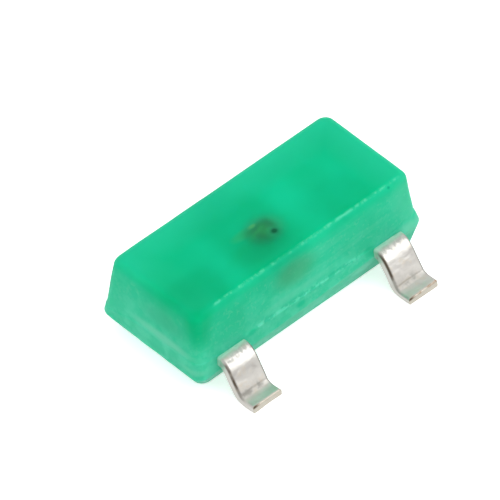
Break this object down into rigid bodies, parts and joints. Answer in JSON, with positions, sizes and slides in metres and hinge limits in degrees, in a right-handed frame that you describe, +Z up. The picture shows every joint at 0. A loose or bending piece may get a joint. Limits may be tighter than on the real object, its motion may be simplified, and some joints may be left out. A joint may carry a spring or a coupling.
{
  "type": "surface mount led",
  "caption": "Small-outline light-emitting diode: a green translucent moulded block with gull-wing leads on both long sides, the chip and bond wire inside.",
  "frame": {"origin": "on the board plane that the lead feet rest on, in the middle of the lead pattern", "axes": "+X along the long side, +Y from the side with two leads to the side with one, +Z up from the board"},
  "size_m": [0.0027, 0.0022, 0.0009],
  "materials": {
    "green_resin": "milky translucent green moulding resin with a fine satin surface",
    "tinned_lead": "matt tin plating over copper alloy, bare copper tone at the cut tips",
    "silver_adhesive": "dull silver-filled epoxy",
    "semiconductor": "dark sawn semiconductor crystal",
    "gold": "soft bright gold"
  },
  "bodies": {
    "root": {"moulded_body": "green_resin", "anode_lead": "tinned_lead", "spare_lead": "tinned_lead", "cathode_lead": "tinned_lead", "die_attach": "silver_adhesive", "led_chip": "semiconductor", "chip_contact": "gold", "bond_wire": "gold"}
  },
  "joints": []
}
